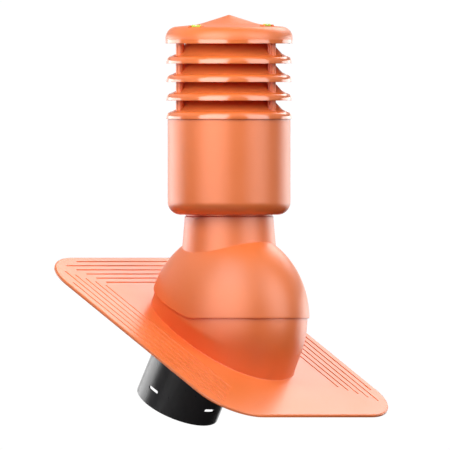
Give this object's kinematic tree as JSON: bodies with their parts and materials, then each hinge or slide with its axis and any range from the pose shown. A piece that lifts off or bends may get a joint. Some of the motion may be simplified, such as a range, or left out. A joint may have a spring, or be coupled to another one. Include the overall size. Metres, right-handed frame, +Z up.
{
  "type": "roof ventilation chimney",
  "caption": "Moulded roof ventilation chimney with a flashing plate, a swivel dome, a round jacket, a louvred head under a flat cap and a duct spigot below.",
  "frame": {"origin": "on the underside of the flashing plate, on its middle line, in the middle of the flange below the collar", "axes": "+Z up along the column, -Y downhill, X along the ridge; the plate lies at a roof pitch of 30 degrees"},
  "size_m": [0.44, 0.4788, 0.7165],
  "materials": {
    "terracotta_plastic": "semi-matt moulded",
    "black_plastic": "semi-gloss extruded",
    "level_vial": "clear, filled with yellow-green liquid"
  },
  "bodies": {
    "flashing_base": {"flashing": "terracotta_plastic", "duct_spigot": "black_plastic"},
    "column": {"swivel_dome": "terracotta_plastic", "jacket": "terracotta_plastic", "louvre_ring_1": "terracotta_plastic", "louvre_ring_2": "terracotta_plastic", "louvre_ring_3": "terracotta_plastic", "post_left": "terracotta_plastic", "post_right": "terracotta_plastic", "post_back": "terracotta_plastic", "cap": "terracotta_plastic", "level_vial_left": "level_vial", "level_vial_right": "level_vial"}
  },
  "joints": [
    {"name": "pitch_swivel", "type": "hinge", "parent": "flashing_base", "child": "column", "pos_m": [0, 0.16573, 0.14245], "axis": [1, 0, 0], "range_deg": [-5, 25]}
  ]
}
